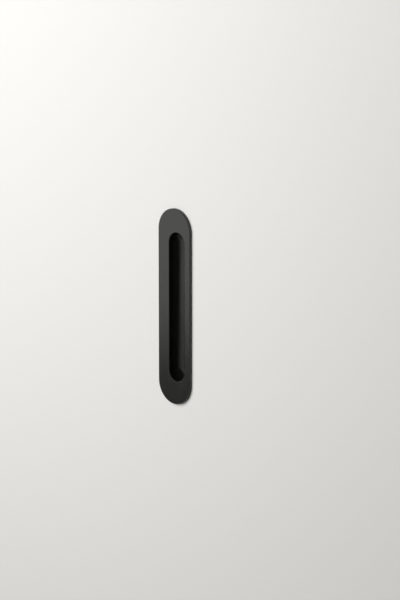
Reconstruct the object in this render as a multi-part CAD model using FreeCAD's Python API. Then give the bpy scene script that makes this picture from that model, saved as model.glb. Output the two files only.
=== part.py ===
import FreeCAD, Part
import math
import os

from FreeCAD import Vector

# An oblong pull that sits flush in a sliding door: a flat plate with fully round ends, and a
# closed finger tray behind it that goes into a slot cut in the door. All of it is one casting.
# +Z runs up the door, -Y comes out of the door towards the hand, and +X points to the door's
# closing edge. The origin is the plate's centre in the plane of its back, which is the plane of
# the door's face.

# Face plate, in millimetres
plate_length = 200.0
plate_width = 45.2
plate_thickness = 3.0
plate_edge_radius = 0.4

# Mouth of the finger recess, measured between its edges as if they were sharp
recess_length = 152.0
recess_width = 22.2
recess_shift = 3.9

# Inside of the recess: its depth is measured from the front of the plate
recess_depth = 13.0
wall_draft = 2.0
lip_radius = 0.8
floor_flat = 3.0

# Tray behind the plate
tray_wall = 1.5
root_radius = 0.5

# Shortest straight run of wall that the dished floor leaves, inside and outside
straight_wall = 0.2

# Planes across the depth, and the lean of the walls
front_y = -plate_thickness
back_y = 0.0
recess_floor_y = front_y + recess_depth
tray_floor_y = recess_floor_y + tray_wall
draft = math.radians(wall_draft)

# Straight runs between the centres of the round ends
plate_run = plate_length - plate_width
recess_run = recess_length - recess_width


def point(reach, depth):
    """A point of a half-section: its distance from the centre line, and its depth."""
    return Vector(reach, depth, 0)


def rounded_section(corners):
    """A flat face through corners given as (point, radius), with an arc at each rounded one."""
    edges = []
    ends = []
    for index, (corner, radius) in enumerate(corners):
        before = corners[index - 1][0]
        after = corners[(index + 1) % len(corners)][0]
        if radius == 0:
            ends.append((corner, corner))
            continue
        back = (before - corner).normalize()
        ahead = (after - corner).normalize()
        half_angle = back.getAngle(ahead) / 2
        middle = (back + ahead).normalize()
        tangent = radius / math.tan(half_angle)
        start = corner + back * tangent
        end = corner + ahead * tangent
        crown = corner + middle * (radius / math.sin(half_angle) - radius)
        edges.append(Part.Arc(start, crown, end).toShape())
        ends.append((start, end))
    for index, (start, end) in enumerate(ends):
        edges.append(Part.makeLine(ends[index - 1][1], start))
    return Part.Face(Part.Wire(Part.sortEdges(edges)[0]))


def oblong(section, run):
    """A solid with fully round ends: one half-section carried up a straight run and round its ends."""
    end_centre = Vector(0, 0, run / 2)
    near_side = section.translated(-end_centre).extrude(2 * end_centre)
    far_side = near_side.mirror(Vector(0, 0, 0), Vector(1, 0, 0))
    top_end = section.translated(end_centre).revolve(end_centre, Vector(0, 1, 0), -180)
    bottom_end = top_end.mirror(Vector(0, 0, 0), Vector(0, 0, 1))
    return near_side.multiFuse([far_side, top_end, bottom_end]).removeSplitter()


def wall_reach(depth, wall):
    """How far the recess wall, or the tray's outer face `wall` outside it, is from the centre line."""
    return recess_width / 2 - (depth - front_y) * math.tan(draft) + wall / math.cos(draft)


def dish_radius():
    """The radius that dishes the recess floor: it leaves floor_flat level, and fits below the lip."""
    turn = math.tan(math.radians(45) + draft / 2)
    across = (wall_reach(recess_floor_y, 0) - floor_flat / 2) * turn
    inside = (recess_depth - straight_wall) / math.cos(draft) * turn - lip_radius
    outside = (tray_floor_y - back_y - straight_wall) / math.cos(draft) * turn - root_radius - tray_wall
    return min(across, inside, outside)


def face_plate():
    """The flat plate that lies on the door, with its front edge softened all round."""
    edge = plate_width / 2
    section = rounded_section([
        (point(0, front_y), 0),
        (point(edge, front_y), plate_edge_radius),
        (point(edge, back_y), 0),
        (point(0, back_y), 0),
    ])
    return oblong(section, plate_run)


def tray_block():
    """The outside of the tray, from inside the plate to the tray's closed bottom."""
    inside_plate = (front_y + back_y) / 2
    root = wall_reach(back_y, tray_wall)
    section = rounded_section([
        (point(0, inside_plate), 0),
        (point(root + 2 * root_radius, inside_plate), 0),
        (point(root + 2 * root_radius, back_y), 0),
        (point(root, back_y), root_radius),
        (point(wall_reach(tray_floor_y, tray_wall), tray_floor_y), dish_radius() + tray_wall),
        (point(0, tray_floor_y), 0),
    ])
    return oblong(section, recess_run).translated(Vector(recess_shift, 0, 0))


def finger_recess():
    """The hollow that fingers reach into: a rounded lip, leaning walls and a dished floor."""
    outside = front_y - lip_radius
    mouth = wall_reach(front_y, 0)
    section = rounded_section([
        (point(0, outside), 0),
        (point(mouth + 2 * lip_radius, outside), 0),
        (point(mouth + 2 * lip_radius, front_y), 0),
        (point(mouth, front_y), lip_radius),
        (point(wall_reach(recess_floor_y, 0), recess_floor_y), dish_radius()),
        (point(0, recess_floor_y), 0),
    ])
    return oblong(section, recess_run).translated(Vector(recess_shift, 0, 0))


def pull_body():
    """The whole casting: plate and tray in one, with the finger recess taken out of both."""
    outside = face_plate().fuse(tray_block())
    return outside.cut(finger_recess()).removeSplitter()


def main():
    os.makedirs("parts", exist_ok=True)
    body = pull_body()
    body.Solids[0].exportStep("parts/pull_body.step")
    print("pull_body", len(body.Solids), "solid,", round(body.Volume / 1000, 2), "cm3")


main()
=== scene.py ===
import math

import bpy
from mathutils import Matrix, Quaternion, Vector

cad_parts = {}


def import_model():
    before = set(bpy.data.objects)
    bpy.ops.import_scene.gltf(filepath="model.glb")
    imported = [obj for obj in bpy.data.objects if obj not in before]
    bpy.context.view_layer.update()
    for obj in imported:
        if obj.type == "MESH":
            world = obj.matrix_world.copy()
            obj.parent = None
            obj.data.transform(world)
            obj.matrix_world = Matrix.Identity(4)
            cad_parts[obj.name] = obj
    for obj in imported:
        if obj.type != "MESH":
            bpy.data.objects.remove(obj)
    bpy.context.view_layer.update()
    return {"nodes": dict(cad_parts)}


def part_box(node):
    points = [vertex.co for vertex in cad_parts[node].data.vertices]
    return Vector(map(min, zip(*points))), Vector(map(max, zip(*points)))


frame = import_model()

# Metres throughout, in the frame of the pull: +Z up the door, -Y out of the door towards the hand,
# +X towards the door's closing edge.

# Camera: where it looks from, its lens, and where the pull sits in the picture
VIEW_AZIMUTH = math.radians(46.2)
VIEW_ELEVATION = math.radians(12.45)
LENS_MM = 200.0
SENSOR_MM = 36.0
PICTURE_WIDE_PX = 400
PICTURE_HIGH_PX = 600
PX_PER_METRE = 1000.0
PULL_PX = Vector((174.05, 306.95))
CLIP_NEAR = 0.05
CLIP_FAR = 50.0

# Coat: its two near-black shades, and its roughness where it is glossiest and dullest
COAT_DARK = (0.0060, 0.0063, 0.0055)
COAT_LIGHT = (0.0072, 0.0076, 0.0066)
COAT_GLOSSIEST = 0.27
COAT_DULLEST = 0.33
COAT_IOR = 1.57

# Texture of the coat: wide clouds of shade and gloss, and the relief of orange peel and fine grain
CLOUDS_PER_METRE = 60.0
CLOUD_DETAIL = 3.0
PEEL_PER_METRE = 700.0
PEEL_DEPTH = 0.00002
PEEL_STRENGTH = 0.25
GRAIN_PER_METRE = 3800.0
GRAIN_DEPTH = 0.000008
GRAIN_STRENGTH = 0.30
RELIEF_DETAIL = 2.0

# Middle range of a noise texture, which holds most of its values
NOISE_LOW = 0.3
NOISE_HIGH = 0.7

# Backdrop: it lies just behind the plate's back, and the plate covers the edge of its hole
BACKDROP_COLOUR = (0.83, 0.82, 0.79)
BACKDROP_BEHIND = 0.00005
HOLE_INSET = 0.0003
ARC_STEPS = 48

# Floor, and how far it and the backdrop reach from the middle
FLOOR_COLOUR = (0.80, 0.79, 0.77)
FLOOR_BELOW = 2.0
STAGE_HALF = 3.0

# World: the light that it gives, and the pale background that is seen in its place
WORLD_LIGHT_LEVEL = 0.12
SEEN_COLOUR = (0.96, 0.955, 0.915)
SEEN_LEVEL = 1.0


def new_material(name):
    """A node material, with its node tree and its one principled shader."""
    material = bpy.data.materials.new(name)
    material.use_nodes = True
    tree = material.node_tree
    shader = tree.nodes["Principled BSDF"]
    return material, tree, shader


def noise(tree, coordinates, scale, detail):
    """A noise texture; scale is in cells per metre."""
    node = tree.nodes.new("ShaderNodeTexNoise")
    node.inputs["Scale"].default_value = scale
    node.inputs["Detail"].default_value = detail
    tree.links.new(coordinates, node.inputs["Vector"])
    return node.outputs["Fac"]


def remap(tree, value, low, high):
    """Spreads a noise value between low and high."""
    node = tree.nodes.new("ShaderNodeMapRange")
    node.inputs["From Min"].default_value = NOISE_LOW
    node.inputs["From Max"].default_value = NOISE_HIGH
    node.inputs["To Min"].default_value = low
    node.inputs["To Max"].default_value = high
    tree.links.new(value, node.inputs["Value"])
    return node.outputs["Result"]


def mix_colour(tree, factor, first, second):
    """A colour between first and second, by factor."""
    node = tree.nodes.new("ShaderNodeMix")
    node.data_type = "RGBA"
    node.inputs["A"].default_value = (*first, 1)
    node.inputs["B"].default_value = (*second, 1)
    tree.links.new(factor, node.inputs["Factor"])
    return node.outputs["Result"]


def bump(tree, height, distance, strength, below=None):
    """A bump layer, on top of the one below it."""
    node = tree.nodes.new("ShaderNodeBump")
    node.inputs["Distance"].default_value = distance
    node.inputs["Strength"].default_value = strength
    tree.links.new(height, node.inputs["Height"])
    if below is not None:
        tree.links.new(below, node.inputs["Normal"])
    return node.outputs["Normal"]


def black_coat():
    """Satin black powder coat: fine grain over soft orange peel, slightly uneven in shade and gloss."""
    material, tree, shader = new_material("satin_black_coat")
    coordinates = tree.nodes.new("ShaderNodeTexCoord").outputs["Object"]
    cloud = noise(tree, coordinates, CLOUDS_PER_METRE, CLOUD_DETAIL)
    peel = noise(tree, coordinates, PEEL_PER_METRE, RELIEF_DETAIL)
    grain = noise(tree, coordinates, GRAIN_PER_METRE, RELIEF_DETAIL)
    shade = mix_colour(tree, remap(tree, cloud, 0.0, 1.0), COAT_DARK, COAT_LIGHT)
    roughness = remap(tree, cloud, COAT_GLOSSIEST, COAT_DULLEST)
    relief = bump(tree, peel, PEEL_DEPTH, PEEL_STRENGTH)
    relief = bump(tree, grain, GRAIN_DEPTH, GRAIN_STRENGTH, relief)
    tree.links.new(shade, shader.inputs["Base Color"])
    tree.links.new(roughness, shader.inputs["Roughness"])
    tree.links.new(relief, shader.inputs["Normal"])
    shader.inputs["IOR"].default_value = COAT_IOR
    return material


def plain_paint(name, colour, one_sided=False):
    """Plain paint without any gloss; one_sided lets it vanish when seen from behind."""
    material, tree, shader = new_material(name)
    shader.inputs["Base Color"].default_value = (*colour, 1)
    shader.inputs["Specular IOR Level"].default_value = 0
    if one_sided:
        behind = tree.nodes.new("ShaderNodeNewGeometry").outputs["Backfacing"]
        clear = tree.nodes.new("ShaderNodeBsdfTransparent")
        mix = tree.nodes.new("ShaderNodeMixShader")
        tree.links.new(behind, mix.inputs["Fac"])
        tree.links.new(shader.outputs["BSDF"], mix.inputs[1])
        tree.links.new(clear.outputs["BSDF"], mix.inputs[2])
        tree.links.new(mix.outputs["Shader"], tree.nodes["Material Output"].inputs["Surface"])
    return material


def painted_mesh(name, vertices, faces, paint):
    """A mesh object in the scene, in one paint."""
    mesh = bpy.data.meshes.new(name)
    mesh.from_pydata(vertices, [], faces)
    mesh.materials.append(paint)
    thing = bpy.data.objects.new(name, mesh)
    bpy.context.scene.collection.objects.link(thing)
    return thing


def rectangle(half_wide, half_high):
    """The corners and the one face of a flat rectangle round the origin."""
    corners = [
        (-half_wide, -half_high, 0),
        (half_wide, -half_high, 0),
        (half_wide, half_high, 0),
        (-half_wide, half_high, 0),
    ]
    return corners, [(0, 1, 2, 3)]


def oblong_loop(half_width, half_length):
    """Points round an upright oblong with fully round ends."""
    run = half_length - half_width
    points = []
    for end, turn in ((1, 0), (-1, math.pi)):
        for step in range(ARC_STEPS + 1):
            angle = math.pi * step / ARC_STEPS + turn
            points.append((half_width * math.cos(angle), end * run + half_width * math.sin(angle)))
    return points


def square_loop(count):
    """Points round the backdrop's edge, as many as the oblong has and in the same order."""
    points = []
    for index in range(count):
        angle = 2 * math.pi * index / count
        reach = STAGE_HALF / max(abs(math.cos(angle)), abs(math.sin(angle)))
        points.append((reach * math.cos(angle), reach * math.sin(angle)))
    return points


def backdrop(plate_corner):
    """The pale surface that the plate lies on, with a hole behind the plate for the tray."""
    hole = oblong_loop(plate_corner.x - HOLE_INSET, plate_corner.z - HOLE_INSET)
    count = len(hole)
    vertices = [(x, BACKDROP_BEHIND, z) for x, z in hole + square_loop(count)]
    faces = []
    for index in range(count):
        after = (index + 1) % count
        faces.append((index, count + index, count + after, after))
    paint = plain_paint("backdrop_paint", BACKDROP_COLOUR, one_sided=True)
    wall = painted_mesh("backdrop", vertices, faces, paint)


def floor():
    """A plain pale floor, below the picture."""
    corners, faces = rectangle(STAGE_HALF, STAGE_HALF)
    ground = painted_mesh("floor", corners, faces, plain_paint("floor_paint", FLOOR_COLOUR))
    ground.location = (0, 0, -FLOOR_BELOW)


def flag(name, location, target, wide, high, grey, roll=0.0):
    """A grey card that faces target and that only gloss shows. It casts no shadow."""
    corners, faces = rectangle(wide / 2, high / 2)
    card = painted_mesh(name, corners, faces, plain_paint(name + "_paint", (grey, grey, grey)))
    facing = (Vector(target) - Vector(location)).to_track_quat("Z", "Y")
    card.location = location
    card.rotation_euler = (facing @ Quaternion((0, 0, 1), roll)).to_euler()
    for kind in ("camera", "diffuse", "transmission", "shadow"):
        setattr(card, "visible_" + kind, False)


def soft_light(name, location, target, size, radiance, gloss_only=False):
    """A square softbox that gloss doesn't show, or with gloss_only one that nothing else shows.

    radiance is its brightness, where 1 is that of a lit white surface.
    """
    light = bpy.data.lights.new(name, "AREA")
    light.shape = "RECTANGLE"
    light.size = size
    light.size_y = size
    light.energy = radiance * math.pi * size * size
    lamp = bpy.data.objects.new(name, light)
    lamp.location = location
    lamp.rotation_euler = (Vector(target) - Vector(location)).to_track_quat("-Z", "Y").to_euler()
    lamp.visible_camera = False
    lamp.visible_diffuse = not gloss_only
    lamp.visible_glossy = gloss_only
    bpy.context.scene.collection.objects.link(lamp)


def shown_rays(tree):
    """1 for rays that show the world, straight, mirrored or through glass, and 0 for its light."""
    rays = tree.nodes.new("ShaderNodeLightPath")
    shown = rays.outputs["Is Camera Ray"]
    for kind in ("Is Glossy Ray", "Is Transmission Ray"):
        either = tree.nodes.new("ShaderNodeMath")
        either.operation = "MAXIMUM"
        tree.links.new(shown, either.inputs[0])
        tree.links.new(rays.outputs[kind], either.inputs[1])
        shown = either.outputs["Value"]
    return shown


def world():
    """An even world: a low plain light, and a pale background wherever the world itself is seen."""
    surroundings = bpy.data.worlds.new("studio")
    bpy.context.scene.world = surroundings
    surroundings.use_nodes = True
    tree = surroundings.node_tree
    light = tree.nodes["Background"]
    light.inputs["Color"].default_value = (1, 1, 1, 1)
    light.inputs["Strength"].default_value = WORLD_LIGHT_LEVEL
    seen = tree.nodes.new("ShaderNodeBackground")
    seen.inputs["Color"].default_value = (*SEEN_COLOUR, 1)
    seen.inputs["Strength"].default_value = SEEN_LEVEL
    mix = tree.nodes.new("ShaderNodeMixShader")
    tree.links.new(shown_rays(tree), mix.inputs["Fac"])
    tree.links.new(light.outputs["Background"], mix.inputs[1])
    tree.links.new(seen.outputs["Background"], mix.inputs[2])
    tree.links.new(mix.outputs["Shader"], tree.nodes["World Output"].inputs["Surface"])


def key_light():
    """The lamp that lights the scene, in front of the pull, high and to the left."""
    soft_light("key", location=(-0.55, -1.25, 0.65), target=(-0.2, 0, 0.35),
               size=1.5, radiance=4.1)


def gloss_surroundings():
    """Cards and a panel that the coat reflects: its gloss fades from grey at the top to black below."""
    flag("right_flag", location=(0.36, -0.27, 0), target=(0, -0.27, 0),
         wide=0.75, high=1.2, grey=0.02)
    flag("low_flag", location=(-0.404, -0.229, -0.388), target=(-0.079, 0.082, -0.388),
         wide=0.65, high=0.5, grey=0.26)
    flag("low_front_flag", location=(0.082, -0.307, -0.37), target=(0, 0, -0.37),
         wide=0.37, high=0.5, grey=0.50)
    flag("front_flag", location=(0.663, -0.95, 1.02), target=(0.663, 0, 1.02),
         wide=3.0, high=2.4, grey=0.01, roll=math.radians(28))
    flag("top_flag", location=(0, -0.50, 0.85), target=(0, -0.50, 0),
         wide=3.0, high=1.0, grey=0.01)
    soft_light("left_panel", location=(-0.85, -0.81, -0.26), target=(0, 0, 0),
               size=1.2, radiance=0.23, gloss_only=True)


def camera(plate_front):
    """A long lens at the photograph's angle, with the pull where the photograph has it."""
    data = bpy.data.cameras.new("camera")
    data.lens = LENS_MM
    data.sensor_width = SENSOR_MM
    data.clip_start = CLIP_NEAR
    data.clip_end = CLIP_FAR
    distance = LENS_MM / SENSOR_MM * PICTURE_HIGH_PX / PX_PER_METRE
    back = Vector((math.sin(VIEW_AZIMUTH) * math.cos(VIEW_ELEVATION),
                   -math.cos(VIEW_AZIMUTH) * math.cos(VIEW_ELEVATION),
                   math.sin(VIEW_ELEVATION)))
    facing = (-back).to_track_quat("-Z", "Y")
    right = facing @ Vector((1, 0, 0))
    up = facing @ Vector((0, 1, 0))
    aim = right * (PICTURE_WIDE_PX / 2 - PULL_PX.x) + up * (PULL_PX.y - PICTURE_HIGH_PX / 2)
    eye = bpy.data.objects.new("camera", data)
    eye.rotation_mode = "QUATERNION"
    eye.rotation_quaternion = facing
    eye.location = plate_front + aim / PX_PER_METRE + back * distance
    bpy.context.scene.collection.objects.link(eye)
    bpy.context.scene.camera = eye


def main():
    bpy.context.scene.view_settings.view_transform = "Standard"
    body = frame["nodes"]["pull_body"]
    body.material_slots[0].material = black_coat()
    low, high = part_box("pull_body")
    backdrop(high)
    floor()
    world()
    key_light()
    gloss_surroundings()
    camera(Vector((0, low.y, 0)))


main()
